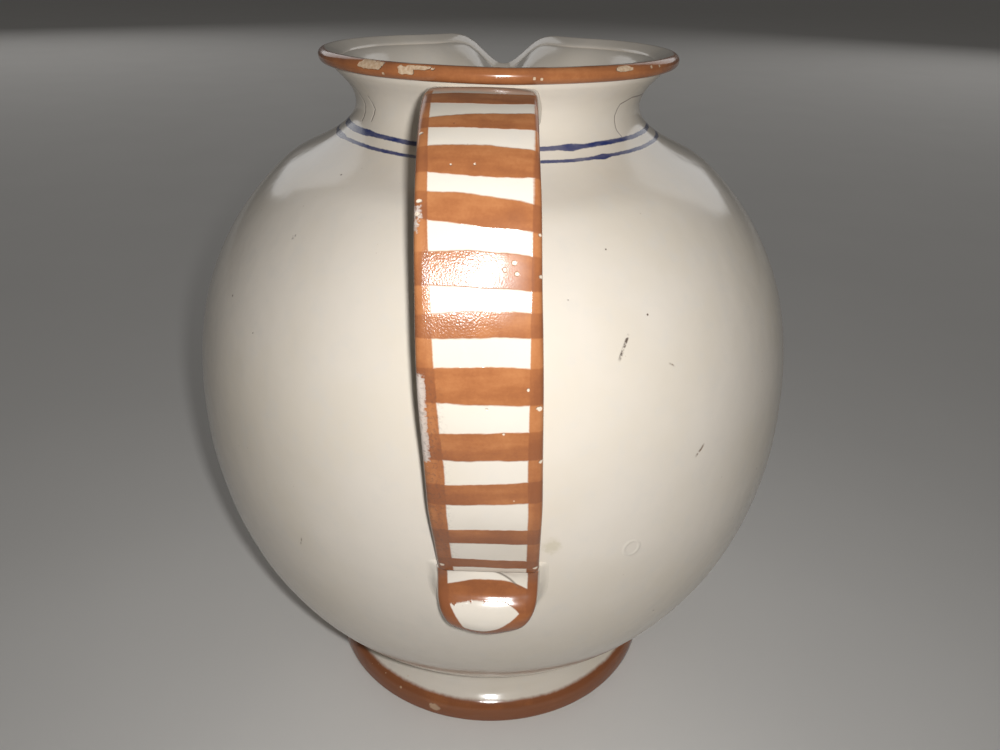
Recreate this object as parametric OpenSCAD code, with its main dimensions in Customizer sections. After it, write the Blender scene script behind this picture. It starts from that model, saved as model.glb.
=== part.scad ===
// A thrown and glazed pitcher: a globe on a foot ring, with a flared neck,
// a pulled spout and a flat strap handle.
// The pitcher stands on z = 0, centred on the z axis. The spout points to +Y
// and the handle to -Y, so the shape is the same on both sides of x = 0.

/* [Globe] */
// Largest radius of the globe
globe_r = 92; // [80:0.5:100]
// Height of the widest point above the table
globe_mid_z = 101.5; // [98:0.5:106]
// Height of the curve below the widest point, if it ran down to the axis
globe_low = 102; // [99:0.5:104]
// Height of the curve above the widest point, if it ran up to the axis
globe_high = 91.5; // [89:0.5:94]
// Fullness of the shoulder: 2 is an ellipse, more is squarer
shoulder_power = 2.25; // [2.1:0.05:2.4]
// Thickness of the globe's wall
wall = 5; // [4:0.5:6]
// Height of the inside floor above the table
floor_z = 18; // [16:0.5:20]

/* [Foot] */
// Outer radius of the foot where it stands on the table
foot_r = 57.1; // [55:0.1:60]
// Outer radius of the foot where it meets the globe
foot_top_r = 50.8; // [50:0.1:52]
// Radius of the hollow under the foot, at the top
recess_r = 46; // [44:0.5:48]
// Depth of the hollow under the foot
recess_h = 10; // [8:0.5:11]
// Height at which the foot's painted edge rolls over into the hollow curve above it
foot_edge_h = 8.5; // [7:0.5:9.5]

/* [Neck and rim] */
// Radius of the neck's root, where it stands on the shoulder
neck_root_r = 60; // [58:0.5:62]
// Height of the rim's widest line
rim_z = 202.7; // [201:0.1:205]
// Radius of the rim's widest line
rim_r = 49.8; // [48:0.1:52]
// How far the spout is pulled out past the round rim
spout_pull = 13; // [8:0.5:16]
// How far the spout's lip dips below the rim
spout_drop = 10.4; // [5:0.1:12]

/* [Handle] */
// Width of the strap
strap_w = 25.4; // [20:0.1:28]
// Thickness of the strap
strap_t = 7.6; // [6:0.1:9]
// How far the strap leans to one side as it rises, in degrees
strap_lean = 2.1; // [0:0.1:3]
// Height at which the leaning strap crosses the middle
lean_mid_z = 140; // [120:1:160]
// Width of the tongue that is pressed on the globe
tongue_w = 24.5; // [20:0.1:26]
// Height of the tongue's tip above the table
tongue_tip_z = 76; // [74:0.5:77]
// Height of the tongue's rounded end
tongue_end_h = 16.5; // [14:0.5:17]

/* [Hidden] */

cream = "#d9d2c3";
brown = "#b0683a";
slip_colour = "#cfc6b4";

turn_steps = 96;      // facets in a full turn
spout_spread = 14;    // how wide the spout's pull is, in degrees about the axis
dip_spread = 6.4;     // how wide the lip's dip is, in degrees about the axis
sag = 1.2;            // how far the rim sinks on the spout's side
sag_spread = 55;      // how wide that is, in degrees
pinch = 1.6;          // how far the rim is pinched in beside the spout
pinch_at = 31;        // where it is pinched most, in degrees from the spout
pinch_spread = 9;     // how wide each pinch is, in degrees

// A point of the globe's curve at angle t, from -90 (bottom) to 90 (top),
// with the skin taken in by inset.
function globe_point(t, inset = 0) = t < 0
    ? [(globe_r - inset) * cos(t), globe_mid_z + (globe_low - inset) * sin(t)]
    : [(globe_r - inset) * pow(cos(t), 2 / shoulder_power),
       globe_mid_z + (globe_high - inset) * pow(sin(t), 2 / shoulder_power)];

// The angle t at which the curve has radius r (low half, high half) or height z.
function low_angle_at_r(r) = -acos(r / globe_r);
function high_angle_at_r(r) = acos(pow(r / globe_r, shoulder_power / 2));
function low_angle_at_z(z, inset) = asin((z - globe_mid_z) / (globe_low - inset));
function high_angle_at_z(z, inset) =
    asin(pow((z - globe_mid_z) / (globe_high - inset), shoulder_power / 2));

// The globe's curve from angle a to angle b in a number of steps.
function globe_arc(a, b, steps, inset = 0) =
    [for (i = [0:steps]) globe_point(a + (b - a) * i / steps, inset)];

// A cubic curve through p[0] and p[3], pulled towards p[1] and p[2].
function curve(p, t) = pow(1 - t, 3) * p[0] + 3 * pow(1 - t, 2) * t * p[1]
    + 3 * (1 - t) * t * t * p[2] + pow(t, 3) * p[3];
function curve_dir(p, t) = let (d = pow(1 - t, 2) * (p[1] - p[0])
    + 2 * (1 - t) * t * (p[2] - p[1]) + t * t * (p[3] - p[2])) d / norm(d);
function curve_points(p, steps) = [for (i = [0:steps]) curve(p, i / steps)];
function reversed(list) = [for (i = [len(list) - 1:-1:0]) list[i]];

// Joint between the globe and the neck: a flat ring at the neck's root.
joint_z = globe_point(high_angle_at_r(neck_root_r))[1];
joint_in_r = globe_point(high_angle_at_z(joint_z, wall), wall)[0];

// Outer curves, listed from the table upwards.
foot_in_t = low_angle_at_r(recess_r);
foot_out_t = low_angle_at_r(foot_top_r);
slip_out_t = low_angle_at_r(foot_top_r + 3.5);
root_t = high_angle_at_r(neck_root_r);
foot_seat = globe_arc(foot_in_t, foot_out_t, 4);
slip_seat = globe_arc(foot_out_t, slip_out_t, 3);
globe_side = globe_arc(slip_out_t, root_t, 44);

// Neck: the outer curve starts along the shoulder and ends under the lip.
lip_under = [rim_r - 2.4, rim_z - 1.85];
lip_inside = lip_under + [-3.1, 1.6];
neck_outer = [[neck_root_r, joint_z], [neck_root_r - 18.2, joint_z + 7.1],
              [rim_r - 17.1, rim_z - 12.9], lip_under];
neck_inner = [[joint_in_r, joint_z], [joint_in_r - 13.7, joint_z + 3.6],
              [rim_r - 21.6, rim_z - 13.5], lip_inside];
spout_root_z = rim_z - 21; // the spout's pull starts at this height

// Rolled lip: a bead whose seat is the neck's top edge.
bead_r = 1.9;
bead_mid = [rim_r - bead_r, rim_z];
bead_start = -95;
bead_turn = 215;
bead = [for (i = [0:10]) let (a = bead_start + bead_turn * i / 10)
    bead_mid + bead_r * [cos(a), sin(a)]];

// Foot: an edge that rolls over, then a hollow curve up to the globe.
foot_outline = concat(
    [[recess_r, recess_h], [recess_r + 2.5, 1], [recess_r + 3.5, 0],
     [foot_r - 0.8, 0], [foot_r - 0.2, 0.3]],
    curve_points([[foot_r, 1.2], [foot_r + 0.3, foot_edge_h + 2],
                  [foot_top_r - 0.2, foot_edge_h - 3], slip_seat[0]], 10));

// ---- Turned solids ----
module turned(outline, steps = turn_steps) rotate_extrude($fn = steps) polygon(outline);

// Everything inside the pitcher's outer surface, for trimming what is stuck on.
module core() {
    turned(concat([[0, 0], [foot_r, 0]], slip_seat, globe_side,
        curve_points(neck_outer, 12), bead, [[0, rim_z + bead_r]]), 3 * turn_steps);
}

module body() {
    inner = concat(
        reversed(globe_arc(0, high_angle_at_z(joint_z, wall), 22, wall)),
        reversed(globe_arc(low_angle_at_z(floor_z, wall), 0, 20, wall)));
    color(cream)
        turned(concat([[0, recess_h], [recess_r, recess_h]], foot_seat, slip_seat,
            globe_side, inner, [[0, floor_z]]));
}

module foot_ring() {
    color(brown) turned(concat(foot_outline, reversed(foot_seat)));
}

module foot_joint_slip() {
    foot_touch = foot_outline[len(foot_outline) - 2];
    bulge = (foot_touch + slip_seat[len(slip_seat) - 1]) / 2 + [0.5, -0.3];
    color(slip_colour) turned(concat([foot_touch], slip_seat, [bulge]));
}

// ---- Neck and lip: an outline carried round the axis and pulled at the spout ----
// Angle from the spout for step i; the steps are closest together at the spout.
function turn_angle(i) = let (u = 360 * i / turn_steps - 180) u - 28.6 * sin(u);
function bump(a, spread) = exp(-pow(a / spread, 2) / 2);
// How much of the spout's pull the clay at height z takes: none below the spout's
// root, all of it at the lip, which moves without changing its section.
function lift(z) = pow(min(max(z - spout_root_z, 0) / (lip_under[1] - spout_root_z), 1), 2);
function spout_out(a) = spout_pull * bump(a, spout_spread)
    - pinch * (bump(a - pinch_at, pinch_spread) + bump(a + pinch_at, pinch_spread));
function spout_down(a) = spout_drop * bump(a, dip_spread) + sag * bump(a, sag_spread);
function pulled(p, a) = let (r = p[0] + lift(p[1]) * spout_out(a))
    [r * sin(a), r * cos(a), p[1] - lift(p[1]) * spout_down(a)];

// A closed skin from equal rings of points, joined each to the next.
// A ring of rings needs no ends; otherwise the first and last ring are capped.
module skin(rings, closed = false) {
    n = len(rings[0]);
    m = len(rings);
    sides = [for (j = [0:m - (closed ? 1 : 2)], i = [0:n - 1])
        let (a = j * n + i, b = j * n + (i + 1) % n, up = ((j + 1) % m) * n - j * n)
        each [[a, b, b + up], [a, b + up, a + up]]];
    ends = closed ? [] : [[for (i = [n - 1:-1:0]) i], [for (i = [0:n - 1]) (m - 1) * n + i]];
    polyhedron([for (ring = rings) each ring], concat(sides, ends));
}

module pulled_ring(outline) {
    skin([for (i = [0:turn_steps - 1])
        [for (p = outline) pulled(p, turn_angle(i))]], closed = true);
}

module neck() {
    color(cream) pulled_ring(reversed(concat(
        curve_points(neck_outer, 11), reversed(curve_points(neck_inner, 9)))));
}

module rolled_lip() {
    color(brown) pulled_ring(reversed(concat([lip_under], bead, [lip_inside])));
}

// ---- Handle: a rounded flat section carried along a curve in the plane x = 0 ----
// The outer face of the strap, from the neck to the globe, as [distance from axis, z].
strap_curve = [[42, 198.4], [60.7, 206.7], [120.9, 200.1], [94.3, 97.9]];
strap_steps = 34;
section_points = 24;
strap_power = 4;       // squareness of the strap's edges: 2 is an ellipse
tongue_power = 2.6;    // the same for the tongue
buried = 4;            // how far the tongue runs into the globe before trimming
root_buried = 8;       // how far the strap's root runs into the neck before trimming
fillet = 2.2;          // how far the slip spreads round a joint

// The tongue's outer face below the strap: a pressed hollow, then a swelling
// that rolls over to the tip.
tongue_hollow = [strap_curve[3], [93.2, 96.1], [92.9, 94], [94.4, 91.8]];
tongue_swelling = [[94.4, 91.8], [97.6, 87.6], [98.8, 82], [94, tongue_tip_z + 2.4]];
tongue_profile = concat(curve_points(tongue_hollow, 6), curve_points(tongue_swelling, 9),
    [[globe_point(low_angle_at_z(tongue_tip_z, 0))[0] + 2, tongue_tip_z + 1]]);

function rounded(w, t, power) = [for (i = [0:section_points - 1])
    let (a = -360 * i / section_points)
    [w / 2 * sign(cos(a)) * pow(abs(cos(a)), 2 / power),
     t / 2 * sign(sin(a)) * pow(abs(sin(a)), 2 / power)]];

// How far the strap stands sideways at height z: it leans as it rises.
function lean(z) = (lean_mid_z - z) * tan(strap_lean);

// A ring of the section with its outer face through p, its outward normal n
// and its size w by t. The handle lies on the -Y side.
function ring_at(p, n, w, t, shift) = [for (q = rounded(w, t, strap_power))
    let (c = p + n * (q[1] - t / 2)) [q[0] + shift, -c[0], c[1]]];

function strap_ring(t, grow) = let (p = curve(strap_curve, t),
        d = curve_dir(strap_curve, t), n = [-d[1], d[0]])
    ring_at(p + n * grow, n, strap_w + 2 * grow, strap_t + 2 * grow, lean(p[1]));

// An upright ring near the strap's root, out along the axis of the root.
function root_ring(out, grow) = ring_at(
    strap_curve[0] + [out, max(out, 0) * 0.35 + grow], [0, 1],
    strap_w + 2 * grow, strap_t + 2 * grow, lean(strap_curve[0][1]));

// A level slice of the tongue at height z with its outer face at distance r.
function tongue_slice(r, z, grow, depth) = let (
        under = globe_point(low_angle_at_z(z, 0))[0] - depth,
        drop = max(tongue_tip_z + tongue_end_h - z, 0) / (tongue_end_h + grow),
        w = (tongue_w + 2 * grow) * sqrt(max(1 - drop * drop, 0.05)))
    [for (q = rounded(w, r - under, tongue_power))
        [q[0] + lean(strap_curve[3][1]), -(r + under) / 2 - q[1], z]];

module strap_solid() {
    skin(concat([root_ring(-root_buried, 0)], [for (i = [0:strap_steps]) strap_ring(i / strap_steps, 0)]));
}

module tongue_solid() {
    skin(concat([strap_ring(1, 0)],
        [for (i = [1:len(tongue_profile) - 1])
            tongue_slice(tongue_profile[i][0], tongue_profile[i][1], 0, buried)]));
}

module handle_strap() {
    color(brown) difference() {
        strap_solid();
        core();
    }
}

// A collar of slip round the strap's root.
module handle_top_joint() {
    color(slip_colour) difference() {
        skin([root_ring(2 - root_buried, fillet), root_ring(1, fillet), root_ring(2.2, fillet / 2),
              root_ring(4, 0.2)]);
        strap_solid();
        core();
    }
}

module handle_tongue() {
    color(brown) difference() {
        tongue_solid();
        core();
    }
}

// A low bank of slip smeared round the tongue.
module tongue_joint_slip() {
    bank_h = 1.3;
    bank_top = strap_curve[3][1] - 1.5;
    bank_low = tongue_tip_z - fillet;
    steps = 9;
    color(slip_colour) difference() {
        skin([for (i = [0:steps]) let (z = bank_top + (bank_low - bank_top) * i / steps,
                under = globe_point(low_angle_at_z(z, 0))[0])
            tongue_slice(under + bank_h * (i == steps ? 0.3 : 1), z, fillet, buried / 2)]);
        tongue_solid();
        core();
    }
}

body();
neck();
rolled_lip();
foot_ring();
foot_joint_slip();
handle_strap();
handle_top_joint();
handle_tongue();
tongue_joint_slip();
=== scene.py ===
import math
import bpy
from mathutils import Matrix, Vector, noise


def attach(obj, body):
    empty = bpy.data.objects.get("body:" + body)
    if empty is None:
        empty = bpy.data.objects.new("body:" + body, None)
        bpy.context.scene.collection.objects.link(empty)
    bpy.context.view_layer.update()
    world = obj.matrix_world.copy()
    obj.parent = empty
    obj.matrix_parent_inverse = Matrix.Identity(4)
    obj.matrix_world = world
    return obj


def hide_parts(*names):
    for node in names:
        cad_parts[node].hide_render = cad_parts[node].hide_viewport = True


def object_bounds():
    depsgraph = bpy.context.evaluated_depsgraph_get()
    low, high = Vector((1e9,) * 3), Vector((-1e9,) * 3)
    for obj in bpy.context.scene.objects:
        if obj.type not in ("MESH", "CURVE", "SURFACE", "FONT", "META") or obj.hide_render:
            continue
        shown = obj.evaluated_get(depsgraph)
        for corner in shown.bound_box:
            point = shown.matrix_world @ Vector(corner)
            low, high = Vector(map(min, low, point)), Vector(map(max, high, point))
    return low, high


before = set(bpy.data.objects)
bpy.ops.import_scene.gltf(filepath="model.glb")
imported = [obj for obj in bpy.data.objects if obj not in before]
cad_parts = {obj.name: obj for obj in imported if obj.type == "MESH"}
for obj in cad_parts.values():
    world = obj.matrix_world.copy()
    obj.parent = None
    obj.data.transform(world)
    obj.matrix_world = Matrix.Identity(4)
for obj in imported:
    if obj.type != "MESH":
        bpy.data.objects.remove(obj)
cad_low, cad_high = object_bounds()

# ---- The table, the lamps and the camera ----
# The pitcher stands on a pale matt table. A small lamp stands beside the viewer,
# and a wide soft panel stands behind the pitcher on each side.
mm = 0.001
table_size = 14.0
table_grey = (0.74, 0.72, 0.69)
table_shade = 0.94
eye = Vector((6.77, -242.5, 227.5)) * mm
eye_heading = 1.115
eye_tilt = 62.44
eye_roll = 1.115
eye_lens = 29.12

scene = bpy.context.scene
scene.view_settings.view_transform = "Standard"
scene.view_settings.look = "None"
bpy.ops.object.select_all(action="DESELECT")


class Value:
    """A number coming out of a shader node. Arithmetic on it adds Math nodes."""

    def __init__(self, finish, socket):
        self.finish = finish
        self.socket = socket

    def math(self, operation, *others):
        settings = {"operation": operation}
        return self.finish.node("Math", settings, {i: v for i, v in enumerate((self, *others))})

    def __add__(self, other):
        return self.math("ADD", other)

    __radd__ = __add__

    def __mul__(self, other):
        return self.math("MULTIPLY", other)

    __rmul__ = __mul__

    def __sub__(self, other):
        return self.math("SUBTRACT", other)

    def __rsub__(self, other):
        return self.finish.node("Math", {"operation": "SUBTRACT"}, {0: other, 1: self})

    def __truediv__(self, other):
        return self.math("DIVIDE", other)

    def __pow__(self, other):
        return self.math("POWER", other)

    def __abs__(self):
        return self.math("ABSOLUTE")

    def least(self, other):
        return self.math("MINIMUM", other)

    def most(self, other):
        return self.math("MAXIMUM", other)

    def above(self, level, soft):
        """0 below level, 1 above it, with a soft edge that wide on each side."""
        return self.finish.node(
            "MapRange", {"interpolation_type": "SMOOTHSTEP"},
            {"Value": self, "From Min": level - soft, "From Max": level + soft})

    def below(self, level, soft):
        return 1 - self.above(level, soft)

    def between(self, low, high, soft):
        return self.above(low, soft) * self.below(high, soft)


class Finish:
    """A material being mixed: a glossy or matt surface and the nodes that colour it."""

    def __init__(self, name, **constants):
        self.material = bpy.data.materials.new(name)
        self.material.use_nodes = True
        self.tree = self.material.node_tree
        self.surface = self.tree.nodes["Principled BSDF"]
        for socket, value in constants.items():
            self.surface.inputs[socket.replace("_", " ")].default_value = value

    def node(self, kind, settings, inputs, out=0):
        made = self.tree.nodes.new("ShaderNode" + kind)
        for key, value in settings.items():
            setattr(made, key, value)
        for key, value in inputs.items():
            self.join(value, made.inputs[key])
        return Value(self, made.outputs[out])

    def join(self, value, socket):
        if isinstance(value, Value):
            self.tree.links.new(value.socket, socket)
        elif isinstance(value, tuple) and socket.type == "RGBA":
            socket.default_value = (*value, 1)
        else:
            socket.default_value = value

    def place(self):
        """The point on the piece in millimetres, as a vector."""
        point = self.node("TexCoord", {}, {}, out=3)
        return self.node("VectorMath", {"operation": "SCALE"}, {0: point, 3: 1 / mm})

    def stretched(self, vector, factors):
        return self.node("VectorMath", {"operation": "MULTIPLY"}, {0: vector, 1: factors})

    def parts(self, vector):
        made = self.node("SeparateXYZ", {}, {0: vector}).socket.node
        return [Value(self, socket) for socket in made.outputs]

    def stored(self, name):
        """A vector that the piece's mesh keeps at each point."""
        return self.node("Attribute", {"attribute_name": name}, {}, out=1)

    def clouds(self, vector, size, detail=3.0, rough=0.5):
        """Soft noise round 0.5 whose blots are about size millimetres."""
        return self.node("TexNoise", {}, {
            "Vector": vector, "Scale": 1 / size, "Detail": detail, "Roughness": rough})

    def specks(self, vector, spacing, radius, share):
        """Round dots up to radius, one or none in each cell of that spacing."""
        cells = self.node("TexVoronoi", {}, {"Vector": vector, "Scale": 1 / spacing})
        luck = self.parts(Value(self, cells.socket.node.outputs["Color"]))[0]
        size = (luck - (1 - share)).most(0) * (radius / share / spacing)
        return (size - cells).above(0.03 * radius, 0.12 * radius / spacing)

    def mix(self, factor, first, second):
        return self.node("Mix", {"data_type": "RGBA"}, {0: factor, 6: first, 7: second}, out=2)

    def bump(self, height):
        """A normal from a height in millimetres."""
        return self.node("Bump", {}, {"Height": height, "Distance": mm, "Strength": 1.0})

    def coat(self, piece, **sockets):
        for socket, value in sockets.items():
            self.join(value, self.surface.inputs[socket.replace("_", " ")])
        piece.data.materials.clear()
        piece.data.materials.append(self.material)


bpy.ops.mesh.primitive_plane_add(size=table_size)
table = bpy.context.object
table.name = "table"
table_finish = Finish("pale_table", Roughness=0.85)
table_blots = table_finish.clouds(table_finish.place(), 90.0)
table_colour = table_finish.mix(table_blots, table_grey, tuple(c * table_shade for c in table_grey))
table_finish.coat(table, Base_Color=table_colour)


middle = (cad_low + cad_high) / 2


def lamp(name, size, place, power):
    """A round lamp turned to the middle of the pitcher."""
    bpy.ops.object.light_add(type="AREA", location=place)
    made = bpy.context.object
    made.name = name
    made.data.shape = "DISK"
    made.data.size = size
    made.data.energy = power
    made.rotation_euler = (middle - place).to_track_quat("-Z", "Y").to_euler()


lamp("viewers_lamp", 0.009, eye + Vector((0.011, 0.0, 0.004)), 0.465)
lamp("left_panel", 1.4, Vector((-1.3, 1.9, 1.15)), 5.0)
lamp("right_panel", 1.4, Vector((1.3, 1.9, 1.15)), 5.0)
world = bpy.data.worlds.new("studio")
scene.world = world
world.use_nodes = True
surroundings = world.node_tree.nodes["Background"].inputs
surroundings["Color"].default_value = (1.0, 0.98, 0.95, 1)
surroundings["Strength"].default_value = 0.08

bpy.ops.object.camera_add(location=eye)
camera = bpy.context.object
turns = [(eye_heading, "Z"), (eye_tilt, "X"), (eye_roll, "Z")]
heading, tilt, roll = [Matrix.Rotation(math.radians(angle), 3, axis) for angle, axis in turns]
camera.rotation_euler = (heading @ tilt @ roll).to_euler()
camera.data.lens = eye_lens
camera.data.sensor_width = 36.0
camera.data.clip_start = 0.01
scene.camera = camera

# ---- The thrown pot: globe and neck ----
# Buff earthenware thrown in one go on the wheel: a globe drawn in to a short
# neck that flares to the rim. It is dipped in a glossy cream glaze.
globe_r = 92.0
globe_mid_z = 101.5
globe_low = 102.0
globe_high = 91.5
shoulder_power = 2.25
wall = 5.0
floor_z = 18.0
recess_r = 46.0
recess_h = 10.0
foot_r = 57.1
foot_top_r = 50.8
neck_root_r = 60.0
rim_z = 202.7
rim_r = 49.8
turn_steps = 112
sharp_angle = 60
cream = (0.715, 0.65, 0.565)
cream_warm = (0.695, 0.625, 0.525)
cream_cool = (0.675, 0.625, 0.555)
pinhole = (0.10, 0.055, 0.035)
clay_dust = (0.33, 0.23, 0.15)
cobalt = (0.022, 0.034, 0.13)
clay = (0.50, 0.33, 0.20)


def globe_point(turn, inset=0.0):
    """A point [radius, height] of the globe's curve, from -90 at the bottom to 90 at the top."""
    across, up = math.cos(math.radians(turn)), math.sin(math.radians(turn))
    if turn < 0:
        return ((globe_r - inset) * across, globe_mid_z + (globe_low - inset) * up)
    bent = 2 / shoulder_power
    return ((globe_r - inset) * across ** bent, globe_mid_z + (globe_high - inset) * up ** bent)


def low_turn(radius):
    return -math.degrees(math.acos(radius / globe_r))


def high_turn(radius):
    return math.degrees(math.acos((radius / globe_r) ** (shoulder_power / 2)))


def turn_at_height(z, inset=0.0):
    if z < globe_mid_z:
        return math.degrees(math.asin((z - globe_mid_z) / (globe_low - inset)))
    rise = (z - globe_mid_z) / (globe_high - inset)
    return math.degrees(math.asin(rise ** (shoulder_power / 2)))


def globe_arc(start, end, steps, inset=0.0):
    return [globe_point(start + (end - start) * i / steps, inset) for i in range(steps + 1)]


def curve(points, t):
    """A point of the cubic curve through the first and last of four points."""
    pulls = ((1 - t) ** 3, 3 * (1 - t) ** 2 * t, 3 * (1 - t) * t * t, t ** 3)
    return tuple(sum(k * p[i] for k, p in zip(pulls, points)) for i in range(len(points[0])))


def curve_points(points, steps):
    return [curve(points, i / steps) for i in range(steps + 1)]


def throw(name, outline, ring=False):
    """Draws a round wall out from point to point of an outline of [radius, height].
    A ring's outline is closed on itself; any other is drawn in to the axis at both ends."""
    bpy.ops.object.select_all(action="DESELECT")
    radius, height = outline[0]
    bpy.ops.mesh.primitive_circle_add(
        vertices=turn_steps, radius=radius * mm, location=(0, 0, height * mm))
    made = bpy.context.object
    made.name = name
    bpy.ops.object.transform_apply(location=True)
    bpy.ops.object.mode_set(mode="EDIT")
    bpy.ops.mesh.select_all(action="SELECT")
    for (r0, z0), (r1, z1) in zip(outline, outline[1:]):
        bpy.ops.mesh.extrude_region_move(TRANSFORM_OT_translate={"value": (0, 0, (z1 - z0) * mm)})
        bpy.ops.transform.resize(value=(r1 / r0, r1 / r0, 1), center_override=(0, 0, 0))
    if ring:
        bpy.ops.mesh.select_all(action="DESELECT")
        bpy.ops.mesh.select_non_manifold()
        bpy.ops.mesh.bridge_edge_loops()
    else:
        bpy.ops.mesh.merge(type="CENTER")
        bpy.ops.mesh.select_all(action="DESELECT")
        bpy.ops.mesh.select_non_manifold()
        bpy.ops.mesh.merge(type="CENTER")
    close_up()
    return made


def close_up():
    """Merges what lies together and turns every face outwards; leaves edit mode."""
    bpy.ops.mesh.select_all(action="SELECT")
    bpy.ops.mesh.remove_doubles(threshold=0.00001)
    bpy.ops.mesh.normals_make_consistent(inside=False)
    bpy.ops.object.mode_set(mode="OBJECT")


def reshape(made, move):
    """Moves every point of a mesh, in millimetres, as the function says."""
    for vertex in made.data.vertices:
        vertex.co = Vector(move(vertex.co / mm)) * mm
    made.data.update()


def smooth_off(made):
    """Rounds the mesh with a subdivision surface and shades it smooth."""
    rounding = made.modifiers.new("rounding", "SUBSURF")
    rounding.levels = rounding.render_levels = 1
    bpy.context.view_layer.objects.active = made
    bpy.ops.object.modifier_apply(modifier=rounding.name)
    bpy.ops.object.select_all(action="DESELECT")
    made.select_set(True)
    bpy.ops.object.shade_smooth_by_angle(angle=math.radians(sharp_angle))


joint_z = globe_point(high_turn(neck_root_r))[1]
joint_in_r = globe_point(turn_at_height(joint_z, wall), wall)[0]
lip_under = (rim_r - 2.4, rim_z - 1.85)
neck_outer = [(neck_root_r, joint_z), (neck_root_r - 18.2, joint_z + 7.1),
              (rim_r - 17.1, rim_z - 12.9), lip_under]
bead_r = 1.9
bead_mid = (rim_r - bead_r, rim_z)
bead_steps = 14
bead_end = 116.4


def bead_point(turn_of_bead, radius=bead_r):
    angle = math.radians(turn_of_bead)
    return (bead_mid[0] + radius * math.cos(angle), bead_mid[1] + radius * math.sin(angle))


def lip_slope(distance_in, sunk=0.0):
    """A point of the flared mouth, so far in from where the bead meets it."""
    start = bead_point(bead_end, bead_r - sunk)
    angle = math.radians(bead_end)
    return (start[0] - distance_in * math.sin(angle), start[1] + distance_in * math.cos(angle))


lip_inside = lip_slope(3.2, 0.15)
neck_inner = [(joint_in_r, joint_z), (joint_in_r - 13.7, joint_z + 3.6),
              lip_slope(17.5, 0.15), lip_inside]
spout_root_z = rim_z - 21

spout_pull = 13.0
spout_spread = 14.0
spout_drop = 10.4
dip_spread = 6.4
sag = 1.2
sag_spread = 55.0
pinch = 1.6
pinch_at = 31.0
pinch_spread = 9.0


def bell(distance, spread):
    """1 at no distance, falling off on both sides."""
    return math.exp(-((distance / spread) ** 2) / 2)


def ramp(distance, length):
    """0 up to no distance, then rising evenly to 1 at that length."""
    return min(max(distance, 0) / length, 1)


def crowd(point):
    """Draws the rings' points closer together at the spout, which is at +Y."""
    turn = math.atan2(point.x, point.y)
    angle = turn - 0.5 * math.sin(turn)
    radius = math.hypot(point.x, point.y)
    return Vector((radius * math.sin(angle), radius * math.cos(angle), point.z))


def pull_spout(point):
    """Pulls the wet rim out and down over a finger to make the spout."""
    angle = math.degrees(math.atan2(point.x, point.y))
    lift = ramp(point.z - spout_root_z, lip_under[1] - spout_root_z) ** 2
    out = spout_pull * bell(angle, spout_spread)
    out -= pinch * (bell(angle - pinch_at, pinch_spread) + bell(angle + pinch_at, pinch_spread))
    down = spout_drop * bell(angle, dip_spread) + sag * bell(angle, sag_spread)
    radius = math.hypot(point.x, point.y)
    wider = (radius + lift * out) / radius if radius else 1.0
    return Vector((point.x * wider, point.y * wider, point.z - lift * down))


def unevenness(point):
    """The hand's slight unevenness in the wall: slow waves and faint throwing rings."""
    slow = noise.noise(point / 55.0) * 0.55 + noise.noise(point / 23.0 + Vector((9, 4, 2))) * 0.16
    rings = math.sin(point.z / 1.15 + 0.8 * noise.noise(point / 30.0)) * 0.035
    outward = Vector((point.x, point.y, 0)).normalized() if point.xy.length > 1 else Vector()
    return point + outward * (slow + rings) * ramp(point.z - 16, 20)


def form_pot(point):
    return unevenness(pull_spout(crowd(point)))


pot_outline = (
    [(3.0, recess_h + 0.9), (16.0, recess_h + 0.8), (30.0, recess_h + 0.5),
     (41.0, recess_h + 0.1), (45.5, recess_h + 0.4), (47.5, recess_h + 2.0)]
    + globe_arc(low_turn(48.5), high_turn(neck_root_r), 36)
    + curve_points(neck_outer, 9)[1:]
    + [(lip_under[0] - 1.2, lip_under[1] + 1.5), lip_inside]
    + curve_points(neck_inner, 8)[-2::-1]
    + globe_arc(turn_at_height(joint_z, wall), turn_at_height(floor_z + 5, wall), 20, wall)[1:]
    + [(42.0, floor_z + 1.2), (36.0, floor_z + 0.2), (20.0, floor_z), (4.0, floor_z)])
pot = throw("thrown_pot", pot_outline)
reshape(pot, form_pot)
smooth_off(pot)
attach(pot, "root")
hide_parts("body", "neck")


class Glaze(Finish):
    """Glossy cream glaze over clay: mottled, with pinholes, specks and a gentle ripple."""

    def __init__(self, name, mottle=1.0):
        super().__init__(name, IOR=1.52)
        self.here = self.place()
        self.x, self.y, self.z = self.parts(self.here)
        slow = self.clouds(self.here, 34.0, 4.0, 0.55)
        fine = self.clouds(self.here, 5.0, 4.0, 0.6)
        holes = self.specks(self.here, 9.5, 0.46, 0.5)
        dust = self.specks(self.here, 3.6, 0.24, 0.45)
        base = self.mix(slow.above(0.52, 0.16) * mottle, cream, cream_warm)
        base = self.mix(fine.above(0.60, 0.12) * 0.5, base, cream_cool)
        base = self.mix(dust * 0.35, base, clay_dust)
        self.colour = self.mix(holes * 0.85, base, pinhole)
        ripple = self.clouds(self.here, 11.0, 2.0) * 0.16 + self.clouds(self.here, 2.6, 2.0) * 0.016
        self.height = ripple - holes * 0.12
        self.gloss = 0.10 + self.clouds(self.here, 20.0, 5.0) * 0.12 + holes * 0.3

    def paint(self, mask, colour, thickness=0.0):
        self.colour = self.mix(mask, self.colour, colour)
        if thickness:
            self.height = self.height + mask * thickness

    def lay_on(self, piece):
        self.coat(piece, Base_Color=self.colour, Roughness=self.gloss, Normal=self.bump(self.height))


def around(glaze):
    """Degrees round the axis from the handle's side, from -180 to 180."""
    return glaze.x.math("ARCTAN2", 0 - glaze.y) * math.degrees(1)


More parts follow.
